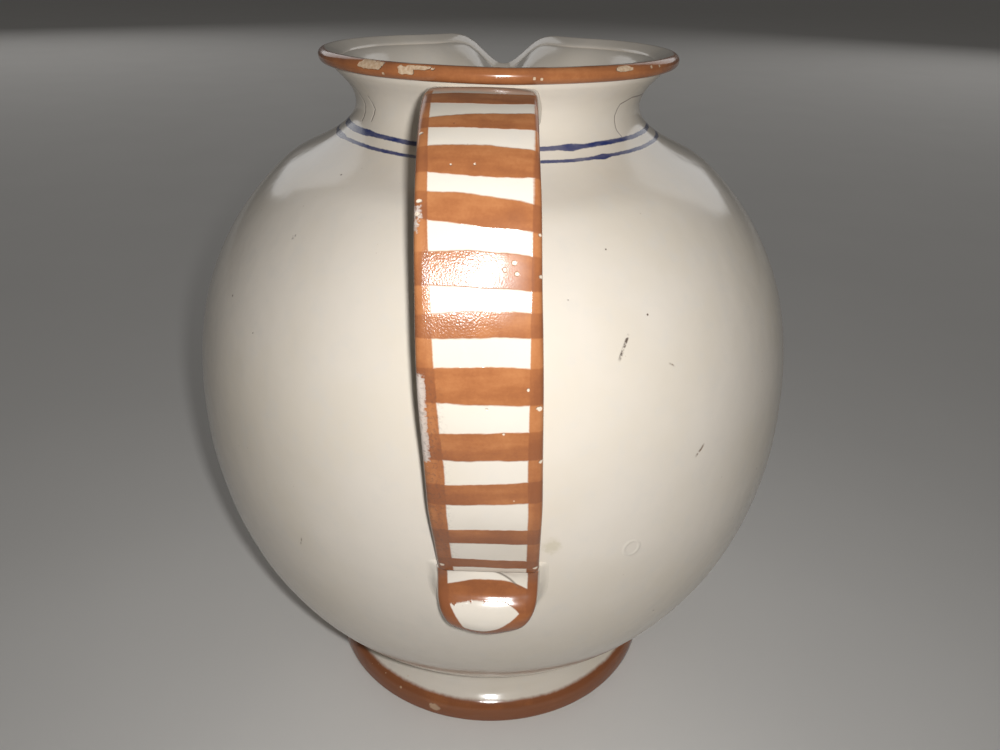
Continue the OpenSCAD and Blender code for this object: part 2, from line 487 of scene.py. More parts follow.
pot_glaze = Glaze("cream_pot_glaze")
distance = ((pot_glaze.x ** 2) + (pot_glaze.y ** 2)) ** 0.5
turn = around(pot_glaze)
wobble = pot_glaze.clouds(pot_glaze.here, 16.0, 2.0) - 0.5
shoulder_slope = math.radians(40.0)
tilt = (turn * math.radians(1)).math("COSINE") * 0.8 - 0.4
ragged = pot_glaze.clouds(pot_glaze.here, 1.1, 2.0) - 0.5


def ring_line(radius, height, width, loads):
    """One brush line round the shoulder, thick where the brush was freshly loaded."""
    out = distance - radius
    up = pot_glaze.z - height - tilt
    away = abs(up * math.sin(shoulder_slope) - out * math.cos(shoulder_slope) + wobble * 1.1)
    skin = abs(out * math.sin(shoulder_slope) + up * math.cos(shoulder_slope)).below(2.4, 0.4)
    half = width / 2 + ragged * 0.35
    for start, length in loads:
        half = half + turn.between(start, start + length, 2.5) * 0.35
    dry = pot_glaze.clouds(pot_glaze.stretched(pot_glaze.here, (1, 1, 4)), 6.0, 4.0)
    return (half - away).above(0.0, 0.16) * (0.62 + dry * 0.62).least(1.0) * skin


pot_glaze.paint(ring_line(42.8, 185.0, 1.25, [(-79, 30), (24, 5)]), cobalt)
pot_glaze.paint(ring_line(45.7, 182.6, 1.05, [(-76, 12), (35, 4)]), cobalt)


def scratch(centre, height, lean, length, width, colour, depth):
    """A short mark on the globe at so many degrees round from the handle."""
    along_x = (turn - centre) * (globe_r * math.radians(1))
    up = pot_glaze.z - height
    along = along_x * math.cos(lean) + up * math.sin(lean)
    across = up * math.cos(lean) - along_x * math.sin(lean) + wobble * 1.2
    worn = pot_glaze.clouds(pot_glaze.here, 0.9, 2.0).above(0.45, 0.12)
    mark = abs(across).below(width, width * 0.6) * abs(along).below(length / 2, 0.8) * worn
    pot_glaze.paint(mark, colour, depth)


scratch(22.6, 148.6, 0.95, 5.6, 0.34, (0.13, 0.10, 0.08), -0.1)
scratch(35.7, 120.1, 0.75, 3.2, 0.34, (0.25, 0.18, 0.13), -0.06)
scratch(-42.8, 164.8, 0.3, 0.7, 0.38, (0.05, 0.03, 0.02), -0.2)
scratch(-31.0, 92.0, 1.2, 3.0, 0.2, (0.40, 0.33, 0.26), -0.05)
scratch(30.9, 142.8, -0.6, 1.2, 0.2, (0.22, 0.16, 0.12), -0.05)


def hairline(places, width, colour, depth):
    """A fine crease through places on the neck, each degrees round and a height. Its line is darkened as
    painted shade in the crease.
    """
    neck_r = 37.0
    nearest = 99.0
    for (turn_a, up_a), (turn_b, up_b) in zip(places, places[1:]):
        run_x = (turn_b - turn_a) * math.radians(neck_r)
        run_z = up_b - up_a
        off_x = (turn - turn_a) * math.radians(neck_r) + wobble * 1.5
        off_z = pot_glaze.z - up_a + wobble
        share = ((off_x * run_x + off_z * run_z) / (run_x ** 2 + run_z ** 2)).most(0).least(1)
        away = ((off_x - share * run_x) ** 2 + (off_z - share * run_z) ** 2) ** 0.5
        nearest = away.least(nearest)
    outside = distance.above(33.0, 0.5)
    pot_glaze.paint(nearest.below(width, width * 0.8) * outside, colour, depth)


hairline([(72.5, 194.3), (58.8, 194.8), (51.8, 193.6), (50.0, 190.4), (50.1, 187.3), (51.5, 185.7)],
         0.16, (0.34, 0.29, 0.25), -0.10)
hairline([(-70.0, 197.6), (-63.0, 195.0), (-59.0, 191.5), (-60.0, 187.0)], 0.22, (0.44, 0.38, 0.32), -0.16)
hairline([(-53.5, 194.0), (-51.0, 191.0), (-53.0, 187.8)], 0.18, (0.50, 0.44, 0.38), -0.14)
stain = ((((turn - 10.6) * 1.6) ** 2 + ((pot_glaze.z - 102.5) ** 2)) ** 0.5 + ragged * 3.0)
pot_glaze.paint(stain.below(1.9, 1.2) * 0.35, (0.42, 0.36, 0.19))
blister = ((((turn - 23.8) * 1.6) ** 2 + ((pot_glaze.z - 97.6) ** 2)) ** 0.5)
pot_glaze.height = pot_glaze.height + (abs(blister - 2.1)).below(0.35, 0.4) * 0.09
pot_glaze.lay_on(pot)

# ---- The rolled lip ----
# The neck's edge is turned over into a bead while it is wet, and its outside is
# banded with iron brown on the wheel; knocks have chipped the band to the clay.
bead_start = -95.0
brown = (0.355, 0.130, 0.047)
brown_light = (0.455, 0.188, 0.072)
brown_dark = (0.25, 0.088, 0.036)

lip_outline = (
    [bead_point(bead_start + (bead_end - bead_start) * i / bead_steps) for i in range(bead_steps + 1)]
    + [lip_slope(1.6), lip_slope(3.2, 0.05), lip_slope(4.2, 0.3), lip_slope(3.8, 1.2),
       lip_slope(1.5, 2.2)])
lip = throw("rolled_lip", lip_outline, ring=True)
keep_round = lip.data.attributes.new("bead_place", "FLOAT_VECTOR", "POINT")
for vertex, kept in zip(lip.data.vertices, keep_round.data):
    spot = crowd(vertex.co / mm)
    kept.vector = (math.degrees(math.atan2(spot.x, -spot.y)),
                   math.hypot(spot.x, spot.y) - bead_mid[0], spot.z - bead_mid[1])

# Each chip: degrees round from the handle, half its length in degrees, its
# height on the bead and half its height in millimetres, and its depth.
chips = [(-36.2, 4.6, 0.9, 0.9, 0.45), (-24.2, 2.2, 0.45, 0.95, 0.5), (-20.6, 4.3, 1.1, 0.42, 0.35),
         (39.0, 2.9, 1.0, 0.55, 0.3), (50.5, 0.5, 0.8, 0.35, 0.15), (55.1, 0.45, 0.7, 0.3, 0.15),
         (11.0, 0.4, -0.3, 0.35, 0.12), (13.0, 0.35, -0.5, 0.3, 0.12), (-31.4, 0.4, -0.7, 0.3, 0.12),
         (128.0, 2.2, 0.9, 0.6, 0.3), (-112.0, 1.6, 0.7, 0.5, 0.25)]


def form_lip(point):
    """Rolls, chips and pulls the bead."""
    spot = crowd(point)
    angle = math.degrees(math.atan2(spot.x, -spot.y))
    out = Vector((spot.x, spot.y, 0)).normalized()
    across = math.hypot(spot.x, spot.y) - bead_mid[0]
    sunk = 0.0
    for centre, half_turn, height, half_height, depth in chips:
        gap = ((angle - centre) / half_turn) ** 2 + ((spot.z - bead_mid[1] - height) / half_height) ** 2
        if across > 0:
            sunk += depth * max(1 - gap / 1.6, 0.0)
    uneven = noise.noise(spot / 9.0) * 0.16 + noise.noise(spot / 31.0) * 0.25
    moved = spot + out * (uneven - sunk) + Vector((0, 0, noise.noise(spot / 26.0) * 0.22))
    return pull_spout(moved)


reshape(lip, form_lip)
smooth_off(lip)
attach(lip, "root")
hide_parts("rolled_lip")


def brushed_brown(glaze, strokes, load_and_shade):
    """Iron brown laid on with a brush: streaked along the stroke, darker where it is thick, and darker
    where painted shade is added to the load.
    """
    streaks = glaze.clouds(strokes, 2.6, 3.0, 0.5)
    blots = glaze.clouds(glaze.here, 7.0, 4.0, 0.55)
    grain = glaze.clouds(glaze.here, 0.6, 2.0)
    thick = streaks * 0.42 + blots * 0.46 + grain * 0.12 + load_and_shade
    light = glaze.mix(thick.above(0.46, 0.13), brown_light, brown)
    return glaze.mix(thick.above(0.64, 0.15), light, brown_dark)


lip_glaze = Glaze("banded_lip_glaze")
round_lip, out_lip, up_lip = lip_glaze.parts(lip_glaze.stored("bead_place"))
lip_edge = lip_glaze.clouds(lip_glaze.here, 7.0, 3.0) - 0.5
lip_band = (out_lip * 0.8 - up_lip * 0.62 + lip_edge * 1.1).above(-0.95, 0.28)
lip_streaks = lip_glaze.stretched(lip_glaze.here, (0.10, 0.10, 1.6))
lip_brown = brushed_brown(lip_glaze, lip_streaks, 0.06)
lip_brown = lip_glaze.mix(lip_glaze.specks(lip_glaze.here, 2.6, 0.3, 0.5) * 0.8, lip_brown, brown_dark)
lip_glaze.paint(lip_band, lip_brown, 0.05)
bare = 0.0
for centre, half_turn, height, half_height, depth in chips:
    gap = (((round_lip - centre) / half_turn) ** 4 + ((up_lip - height) / half_height) ** 4) ** 0.25
    torn = lip_glaze.clouds(lip_glaze.here, 1.6, 3.0) - 0.5
    chip = (gap + torn * 1.2).below(1.0, 0.06) * out_lip.above(0.0, 0.3)
    bare = chip.most(bare)
crumbs = lip_glaze.clouds(lip_glaze.here, 0.7, 3.0)
chip_clay = lip_glaze.mix(crumbs.above(0.5, 0.2), clay, (0.62, 0.47, 0.32))
lip_glaze.paint(bare, chip_clay, -0.22)
lip_glaze.gloss = lip_glaze.gloss * (1 - bare) + bare * 0.75
lip_glaze.height = lip_glaze.height + (crumbs - 0.5) * bare * 0.12
lip_glaze.lay_on(lip)

# ---- The foot ring ----
# A ring of clay turned and luted under the globe. Its upright edge is banded
# brown, the step over it is cream, and the face it stands on is wiped bare.
foot_edge_h = 8.5
foot_seat_z = globe_point(low_turn(foot_top_r))[1]
foot_outline = (
    [(recess_r - 0.2, recess_h + 1.4), (recess_r + 0.3, recess_h - 1.0), (recess_r + 1.6, 4.5),
     (recess_r + 2.5, 1.2), (recess_r + 3.1, 0.3), (recess_r + 4.2, 0.0), (foot_r - 2.0, 0.0),
     (foot_r - 0.7, 0.0), (foot_r - 0.1, 0.35)]
    + curve_points([(foot_r + 0.1, 1.3), (foot_r + 0.4, foot_edge_h + 2),
                    (foot_top_r - 0.2, foot_edge_h - 3), (foot_top_r, foot_seat_z)], 12)
    + [(foot_top_r - 1.5, foot_seat_z + 0.2), (foot_top_r - 3.0, foot_seat_z - 1.2),
       (recess_r + 0.6, recess_h + 2.6)])
foot = throw("foot_ring", foot_outline, ring=True)


def form_foot(point):
    """The ring is turned a little uneven, but stands flat."""
    uneven = noise.noise(Vector((point.x, point.y, 0)) / 26.0) * 0.30 + noise.noise(point / 8.0) * 0.10
    out = Vector((point.x, point.y, 0)).normalized()
    return point + out * (uneven * ramp(point.z, 2.5))


reshape(foot, form_foot)
smooth_off(foot)
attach(foot, "root")
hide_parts("foot_ring")

foot_glaze = Glaze("banded_foot_glaze")
foot_wave = foot_glaze.clouds(foot_glaze.here, 19.0, 4.0) - 0.5
foot_ragged = foot_glaze.clouds(foot_glaze.here, 1.6, 3.0) - 0.5
foot_out = ((foot_glaze.x ** 2) + (foot_glaze.y ** 2)) ** 0.5
foot_band = (foot_glaze.z + foot_wave * 1.6 + foot_ragged * 0.4).below(7.7, 0.5)
foot_band = foot_band * foot_out.above(52.0, 0.8)
foot_brown = brushed_brown(
    foot_glaze, foot_glaze.stretched(foot_glaze.here, (0.10, 0.10, 1.1)),
    0.26 + foot_glaze.z.below(3.5, 3.0) * 0.08)
foot_glaze.paint(foot_band, foot_brown, 0.06)
foot_bubbles = foot_glaze.specks(foot_glaze.here, 2.6, 0.5, 0.6)
foot_turn = around(foot_glaze)
bubble_patch = foot_turn.between(-58, -24, 9.0) * foot_glaze.z.between(2, 13, 2.0)
foot_glaze.paint(foot_bubbles * bubble_patch * 0.75, (0.62, 0.42, 0.26), 0.10)
foot_knock = (((foot_turn + 17.0) ** 2 + ((foot_glaze.z - 3.6) * 1.4) ** 2) ** 0.5
              + foot_ragged * 2.0).below(1.6, 0.4)
foot_glaze.paint(foot_knock * 0.8, (0.58, 0.40, 0.26), -0.12)
foot_bare = foot_glaze.z.below(0.45, 0.3) * foot_out.above(recess_r + 1.5, 0.6)
foot_grit = foot_glaze.clouds(foot_glaze.here, 0.8, 4.0)
foot_clay = foot_glaze.mix(foot_grit.above(0.5, 0.2), clay, (0.60, 0.43, 0.28))
foot_glaze.paint(foot_bare, foot_clay)
foot_glaze.gloss = foot_glaze.gloss * (1 - foot_bare) + foot_bare * 0.8
foot_glaze.height = foot_glaze.height + (foot_grit - 0.5) * foot_bare * 0.2
foot_glaze.lay_on(foot)

# ---- The slip where the foot joins ----
# Liquid clay is brushed round the seam between the foot and the globe and
# smoothed with a finger, which leaves a low uneven fillet under the glaze.
slip_top_r = foot_top_r + 3.5
slip_low = (foot_top_r + 0.15, foot_seat_z - 1.1)
slip_top = globe_point(low_turn(slip_top_r))
seam_outline = [slip_low, (foot_top_r + 0.75, foot_seat_z + 0.1),
                ((slip_low[0] + slip_top[0]) / 2 + 0.75, (slip_low[1] + slip_top[1]) / 2 - 0.15),
                (slip_top[0] - 0.1, slip_top[1] - 0.5), (slip_top[0] + 0.2, slip_top[1] + 0.25),
                (slip_top[0] - 1.3, slip_top[1] + 0.1), (foot_top_r - 0.6, foot_seat_z + 0.6)]
seam = throw("foot_joint_slip", seam_outline, ring=True)


def form_seam(point):
    """The finger's smoothing leaves the fillet wavy."""
    out = Vector((point.x, point.y, 0)).normalized()
    wave = noise.noise(Vector((point.x, point.y, 0)) / 13.0 + Vector((3, 0, 0)))
    return point + out * (wave * 0.45 + noise.noise(point / 4.0) * 0.12) + Vector((0, 0, wave * 0.3))


reshape(seam, form_seam)
smooth_off(seam)
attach(seam, "root")
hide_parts("foot_joint_slip")
slip_glaze = Glaze("slip_fillet_glaze", mottle=1.4)
slip_grit = slip_glaze.clouds(slip_glaze.here, 1.4, 4.0)
slip_glaze.height = slip_glaze.height + slip_grit * 0.10
slip_glaze.paint(slip_grit.above(0.66, 0.05) * 0.15, (0.50, 0.40, 0.29))
slip_glaze.lay_on(seam)

# ---- The strap handle ----
# A flat strap of clay is pulled, cut to length and bent in one arch from the
# neck, just under the lip, down to the globe. Its face is barred in brown.
strap_w = 25.4
strap_t = 7.6
strap_corner = 1.4
strap_lean = math.radians(2.1)
lean_mid_z = 140.0
strap_curve = [(42.0, 198.4), (60.7, 206.7), (120.9, 200.1), (94.3, 97.9)]
strap_length = 142.7
root_buried = 7.0
strap_rings = 60
# The strap's unevenness: a slow wave and a twist about halfway, a bulge low down,
# and a face that is lower at its edges. It is a little narrower high up and at its
# lower end, which also stands slightly to the right.
wave_h, wave_at, wave_spread, wave_length = 0.9, 81.0, 24.0, 80.0
twist_angle, twist_at, twist_spread = math.radians(5.5), 79.0, 20.0
bulge_h, bulge_at, bulge_spread = 1.8, 124.0, 10.0
crown_h = 0.4
end_fade = 10.0
waist, waist_at, waist_spread = 0.025, 40.0, 14.0
low_waist, low_waist_at, low_waist_run = 0.05, 120.0, 22.0
side_shift, side_shift_at, side_shift_run = 0.5, 20.0, 30.0


def draw_strip(name, section, stations):
    """A straight bar with a round-cornered section, with a ring at every station up Z."""
    bpy.ops.object.select_all(action="DESELECT")
    bpy.ops.mesh.primitive_circle_add(
        vertices=len(section), radius=1.0, fill_type="NGON", location=(0, 0, stations[0] * mm))
    made = bpy.context.object
    made.name = name
    bpy.ops.object.transform_apply(location=True)
    for vertex, (across, out) in zip(made.data.vertices, section):
        vertex.co.x = across * mm
        vertex.co.y = out * mm
    bpy.ops.object.mode_set(mode="EDIT")
    bpy.ops.mesh.select_all(action="SELECT")
    for before, after in zip(stations, stations[1:]):
        bpy.ops.mesh.extrude_region_move(TRANSFORM_OT_translate={"value": (0, 0, (after - before) * mm)})
    close_up()
    keep = made.data.attributes.new("strip_place", "FLOAT_VECTOR", "POINT")
    for vertex, kept in zip(made.data.vertices, keep.data):
        kept.vector = vertex.co / mm
    return made


def flat_section(width, thick, corner, across_steps=7, corner_steps=3):
    """Points round a flat bar with round corners: x across, y out, 0 on its outer face."""
    points = []
    for turn_no, (cx, cy) in enumerate([(1, 1), (-1, 1), (-1, -1), (1, -1)]):
        middle_x = cx * (width / 2 - corner)
        middle_y = -thick / 2 + cy * (thick / 2 - corner)
        for i in range(corner_steps + 1):
            angle = math.radians(90 * turn_no + 90 * i / corner_steps)
            points.append((middle_x + corner * math.cos(angle), middle_y + corner * math.sin(angle)))
        if turn_no % 2 == 0:
            for i in range(1, across_steps):
                step_x = cx * (width - 2 * corner) * i / across_steps
                points.append((middle_x - step_x, cy * thick / 2 - thick / 2))
        else:
            points.append((cx * width / 2, -thick / 2))
    return points


def along_strap(distance_along):
    """The outer face's point and outward direction at a distance from the strap's root."""
    fine = 240
    walked = 0.0
    before = curve(strap_curve, 0.0)
    for i in range(1, fine + 1):
        after = curve(strap_curve, i / fine)
        step = math.dist(before, after)
        if walked + step >= distance_along or i == fine:
            share = (distance_along - walked) / step
            spot = [b + (a - b) * share for a, b in zip(after, before)]
            ahead = ((after[0] - before[0]) / step, (after[1] - before[1]) / step)
            return spot, (-ahead[1], ahead[0])
        walked += step
        before = after


def lean(height):
    """How far to the side the leaning strap's middle stands at a height."""
    return (lean_mid_z - height) * math.tan(strap_lean)


def off_strap(distance_along, rise):
    """The radius, the height and the lean of a point that stands off the strap's outer
    face. Before its root the strap runs on into the neck, nearly level."""
    spot, out = along_strap(max(distance_along, 0.0))
    buried = min(distance_along, 0.0)
    return spot[0] + out[0] * rise + buried, spot[1] + out[1] * rise + buried * 0.1, lean(spot[1])


def bend_strip(point):
    """Takes a point of the straight bar to its place in the bent strap."""
    swell = noise.noise(Vector((point.x / 14, point.y / 14, point.z / 17))) * 0.35
    dent = noise.noise(Vector((point.x / 5, point.y / 5, point.z / 6)) + Vector((5, 5, 5))) * 0.10
    ends = min(ramp(point.z, end_fade), ramp(strap_length - point.z, end_fade))
    wave = wave_h * math.sin((point.z - wave_at) * math.tau / wave_length)
    wave = wave * bell(point.z - wave_at, wave_spread)
    bulge = bulge_h * bell(point.z - bulge_at, bulge_spread)
    twist = point.x * math.tan(twist_angle) * bell(point.z - twist_at, twist_spread)
    crown = crown_h * (2 * point.x / strap_w) ** 2
    rise = point.y + (swell + dent - crown) * ends + wave + bulge - twist
    narrowed = waist * bell(point.z - waist_at, waist_spread)
    narrowed += low_waist * ramp(point.z - low_waist_at, low_waist_run)
    side = point.x * (1 - narrowed + 0.012 * noise.noise(Vector((3.1, 0.4, point.z / 20))))
    side += side_shift * ramp(point.z - side_shift_at, side_shift_run)
    radius, height, leaned = off_strap(point.z, rise)
    return Vector((side + leaned, -radius, height))


section = flat_section(strap_w, strap_t, strap_corner)
stations = [-root_buried, -root_buried / 2] + [
    strap_length * i / strap_rings for i in range(strap_rings + 1)] + [strap_length + 0.8]
strap = draw_strip("handle_strap", section, stations)
reshape(strap, bend_strip)
smooth_off(strap)
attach(strap, "root")
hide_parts("handle_strap")

# Each bar: where it starts and ends along the strap, then how far its upper and
# its lower edge run on at the left end and at the right end of the stroke.
bars = [(19.3, 25.6, 0.0, -0.9, -1.0, -0.8), (30.0, 34.9, 1.7, -1.1, 0.0, -0.3),
        (39.7, 47.1, 0.9, 0.7, -0.8, -0.2), (51.0, 57.3, -0.6, 1.7, -1.2, 0.8),
        (62.1, 69.2, 0.6, 0.9, 0.0, 0.7), (73.9, 79.2, 0.7, 0.3, 0.0, 0.0),
        (84.9, 93.1, 0.4, 0.6, -0.8, 0.4), (99.6, 106.5, 0.2, -0.2, 0.0, -0.1),
        (112.6, 118.1, 0.3, -0.5, 0.4, -0.5), (125.8, 130.9, 0.6, 0.0, 0.5, 0.2),
        (137.5, 141.0, -0.3, 0.6, 0.0, 0.0)]

strap_glaze = Glaze("barred_strap_glaze")
strap_place = strap_glaze.stored("strip_place")
across, out, along = strap_glaze.parts(strap_place)
hand = strap_glaze.clouds(strap_place, 9.0, 2.0) - 0.5
bristle = strap_glaze.clouds(strap_glaze.stretched(strap_place, (1.0, 1.0, 3.0)), 1.6, 3.0) - 0.5
across_share = across / (strap_w / 2)


def run_on(left, right):
    """The distance along the strap, less what a stroke's edge runs on at its two ends."""
    slant = across_share * ((right - left) / 2)
    bow = (across_share ** 2) * ((right + left) / 2)
    return along - slant - bow + hand + bristle * 0.35


brush_edge = 0.22
cross_paint = 0.0
cross_tone = 0.0
for start, end, start_left, start_right, end_left, end_right in bars:
    upper = run_on(start_left, start_right)
    bar = upper.above(start, brush_edge) * run_on(end_left, end_right).below(end, brush_edge)
    cross_paint = cross_paint + bar
    cross_tone = cross_tone + upper.above((start + end) / 2, (end - start) * 0.55) * bar
edge_wave = strap_glaze.clouds(strap_glaze.stretched(strap_place, (0, 0, 1)), 13.0, 3.0) - 0.5
left_width = 2.2 + along.above(75.0, 50.0) * 2.4 - along.above(125.0, 18.0) * 0.6 + edge_wave * 0.8
right_width = 0.9 + along.above(70.0, 45.0) * 2.3 + edge_wave * 0.5
left_paint = (left_width - across + bristle * 0.2).above(strap_w / 2, brush_edge)
right_paint = (right_width + across + bristle * 0.2).above(strap_w / 2, brush_edge)
edge_paint = (left_paint + right_paint).least(1.0) * out.above(-5.4, 0.5) * along.above(16.5, 1.2)
cross_paint = cross_paint * out.above(-3.9, 0.6)
# The brown is darkened towards the strap's lower end, where the strap turns down from the light: painted
# shade. The rest of this darkening is the brush's own load.
load_and_shade = cross_tone * 0.10 + edge_paint * cross_paint * 0.16 - 0.02 + along.above(124.0, 26.0) * 0.22
cross_streaks = strap_glaze.stretched(strap_place, (0.16, 0.7, 0.95))
edge_streaks = strap_glaze.stretched(strap_place, (0.95, 0.7, 0.13))
cross_brown = brushed_brown(strap_glaze, cross_streaks, load_and_shade)
edge_brown = brushed_brown(strap_glaze, edge_streaks, load_and_shade)
strap_brown = strap_glaze.mix(left_paint.most(right_paint), cross_brown, edge_brown)
painted = cross_paint.most(edge_paint)
strap_glaze.paint(painted, strap_brown, 0.05)
strap_glaze.paint(strap_glaze.specks(strap_place, 5.0, 0.45, 0.5) * painted * 0.7, brown_dark, -0.1)
light_specks = strap_glaze.specks(strap_place, 7.3, 0.5, 0.35)
strap_glaze.paint(light_specks * painted * 0.75, (0.66, 0.46, 0.30), 0.08)

# Wear on the left edge, where the strap is gripped and knocked.
grit = strap_glaze.clouds(strap_place, 0.9, 4.0, 0.65)
patch = strap_glaze.clouds(strap_place, 4.2, 3.0)
left_edge = (0 - across).above(strap_w / 2 - 1.7, 0.9)
worn_run = along.between(52.0, 60.0, 2.0) * 0.6 + along.between(86.0, 108.0, 5.0) + 0.12
worn = (grit * 0.6 + patch * 0.5 + left_edge * worn_run * 0.42).above(0.86, 0.05) * left_edge
strap_glaze.paint(worn * 0.85, (0.60, 0.54, 0.48), -0.08)
rough_low = (0 - across).above(strap_w / 2 - 4.6, 2.0) * along.between(88.0, 141.0, 9.0)
strap_glaze.paint(grit.above(0.56, 0.08) * rough_low * 0.40, (0.10, 0.06, 0.045), -0.08)

# Small chips on the face and on both edges, and painted highlights: across, along and size. The three on
# the face near 65 along are partly chips and partly painted highlight; the last two, at the strap's end
# beside the tongue, are painted highlights.
flakes_and_glints = [(5.2, 65.6, 0.45), (7.2, 64.2, 0.5), (7.6, 66.4, 0.45), (12.2, 58.4, 0.3), (12.3, 66.8, 0.35),
          (11.9, 94.2, 0.5), (12.2, 107.0, 0.4), (9.6, 89.9, 0.3), (-11.7, 52.6, 0.36), (-11.9, 55.2, 0.42),
          (-11.8, 36.5, 0.32), (1.2, 94.0, 0.25), (4.5, 99.8, 0.25), (-5.4, 44.7, 0.2), (-0.6, 44.4, 0.22),
          (-11.6, 140.4, 0.42), (11.8, 140.8, 0.42)]
flaked_and_glinting = 0.0
for mark_x, mark_along, size in flakes_and_glints:
    gap = ((across - mark_x) ** 2 + (along - mark_along) ** 2) ** 0.5
    flake_and_glint = (gap + (grit - 0.5) * (size * 1.6)).below(size, 0.12) * out.above(-2.6, 0.4)
    flaked_and_glinting = flake_and_glint.most(flaked_and_glinting)
# The chips show light clay; at the glints the same light colour is a painted highlight.
strap_glaze.paint(flaked_and_glinting, (0.74, 0.62, 0.49), -0.15)
strap_glaze.gloss = strap_glaze.gloss + painted * 0.05 + worn * 0.35 + flaked_and_glinting * 0.3
orange_peel = strap_glaze.clouds(strap_place, 0.42, 2.0) * along.between(60.0, 82.0, 6.0)
orange_peel = orange_peel * (0 - across).above(-3.0, 6.0)
strap_glaze.height = strap_glaze.height + orange_peel * painted * 0.07 + (grit - 0.5) * rough_low * 0.12
strap_glaze.lay_on(strap)

# ---- The tongue of the handle ----
# The strap's lower end is thumbed against the globe: a pressed crease, then a
# swelling that rolls over and thins out to a round tip.
tongue_w = 25.0
tongue_tip_z = 76.0
tongue_round_z = 92.6
tongue_base_depth = 4.0
tongue_shift = lean(strap_curve[3][1]) + 0.35
tongue_crown = 1.2
tip_crown = 3.0
tip_sink = 3.2
crease_z = 97.3
crease_left = -1.0
crease_swing = 0.06
groove_depth = 0.95
tip_r = globe_point(turn_at_height(tongue_tip_z))[0]
tongue_hollow = [strap_curve[3], (93.2, 96.1), (92.7, 93.6), (94.8, 91.0)]
tongue_swelling = [(94.8, 91.0), (99.5, 87.4), (99.3, 82.0), (94.0, tongue_tip_z + 2.4)]
tongue_profile = (curve_points(tongue_hollow, 8) + curve_points(tongue_swelling, 16)[1:]
                  + [(tip_r + 2.6, tongue_tip_z + 1.0), (tip_r + 0.8, tongue_tip_z + 0.2)])


def crease_height(side):
    """The thumb's crease runs level from the left and swings down at the right."""
    return crease_z - crease_swing * max(side - crease_left, 0.0) ** 2


def form_tongue(point):
    """Takes ring number z of the straight bar to a level slice of the tongue."""
    ring = min(int(round(point.z)), len(tongue_profile) - 1)
    radius, height = tongue_profile[ring]
    under = globe_point(turn_at_height(height))[0] - tongue_base_depth
    drop = min(max(tongue_round_z - height, 0) / (tongue_round_z - tongue_tip_z - 0.6), 0.995)
    width = max((1 - drop * drop) ** 0.60, 0.12)
    depth = -point.y / strap_t
    level = radius + (under - radius) * depth
    tilt_up = 0.0
    if ring == 0:  # the first ring is square to the strap's end, not level
        spot, out = along_strap(strap_length)
        level = spot[0] + out[0] * point.y
        tilt_up = out[1] * point.y
    side = point.x / strap_w * tongue_w * width
    crown = (1 - (2 * point.x / strap_w) ** 2) * (tongue_crown + tip_crown * drop ** 3) * ramp(ring, 5)
    crown -= tip_sink * drop ** 3
    uneven = noise.noise(Vector((side / 6, height / 6, 3.0))) * 0.25 * ramp(ring, 3)
    groove = groove_depth * bell(height - crease_height(side), 0.8) * bell(side - 0.5, 5.5) * ramp(ring, 1)
    outward = level + crown * (1 - depth) + uneven - groove
    return Vector((side + tongue_shift, -outward, height + tilt_up))


tongue = draw_strip("handle_tongue", flat_section(strap_w, strap_t, 2.0, across_steps=12),
                    list(range(len(tongue_profile))))
reshape(tongue, form_tongue)
smooth_off(tongue)
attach(tongue, "root")
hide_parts("handle_tongue")

tongue_glaze = Glaze("barred_tongue_glaze")
tongue_x = tongue_glaze.x - tongue_shift
tongue_z = tongue_glaze.z
tongue_hand = tongue_glaze.clouds(tongue_glaze.here, 5.0, 2.0) - 0.5
tongue_bristle = tongue_glaze.clouds(tongue_glaze.here, 0.9, 3.0) - 0.5
shaky = tongue_hand * 0.8 + tongue_bristle * 0.3
on_face = tongue_glaze.parts(tongue_glaze.stored("strip_place"))[1].above(-0.9, 0.35)
# The bare patch over the tip, between a bowed top, a slanted left side and a
# lower side that climbs to the right.
patch_top = 90.5 - ((tongue_x - 3.4).most(0) ** 1.7) * 0.2 - ((-2 - tongue_x).most(0) ** 1.5) * 0.05
patch_low = ((tongue_x + 1.9) ** 2) * 0.057 + 82.9
patch_left = (89.5 - tongue_z) * 0.585 - 8.8
drips = tongue_glaze.clouds(tongue_glaze.stretched(tongue_glaze.here, (1, 1, 0.3)), 0.9, 2.0)
drips = drips.above(0.62, 0.04) * 0.6
patch = ((patch_top - drips - tongue_z + shaky * 0.6).above(0.0, 0.2)
         * (tongue_z - patch_low + shaky).above(0.0, 0.25)
         * (tongue_x - patch_left + shaky).above(0.0, 0.25))
# The bare strip between the strap's last bar and the tongue's own bar.
strip_low = 95.1 - ((0 - tongue_x).most(0) ** 2) * 0.019 - (tongue_x.most(0) ** 2) * 0.028
strip = ((tongue_z - strip_low + shaky * 0.5).above(0.0, 0.2)
         * (tongue_x + shaky * 0.5).between(-9.6, 9.5, 0.2))
tongue_paint = (1 - patch.most(strip)) * on_face
tongue_streaks = tongue_glaze.stretched(tongue_glaze.here, (0.2, 0.7, 0.9))
overlap = abs(tongue_x).above(9.3, 0.3) * tongue_z.between(88.0, 93.0, 0.6)
tongue_brown = brushed_brown(tongue_glaze, tongue_streaks, 0.20 + overlap * 0.10)
tongue_glaze.paint(tongue_paint, tongue_brown, 0.05)
# The thumb's crease is painted dark along its line: painted shade in the groove, over the shallow groove
# that the bump gives.
crease_line = tongue_z - crease_z + ((tongue_x - crease_left).most(0) ** 2) * crease_swing
crease = abs(crease_line).below(0.28, 0.25) * tongue_x.between(-6.0, 7.0, 1.2)
tongue_glaze.paint(crease * 0.8, (0.16, 0.13, 0.10), -0.15)
tongue_glaze.paint(tongue_glaze.specks(tongue_glaze.here, 3.6, 0.3, 0.4) * tongue_paint * 0.7, brown_dark)
tongue_glaze.lay_on(tongue)

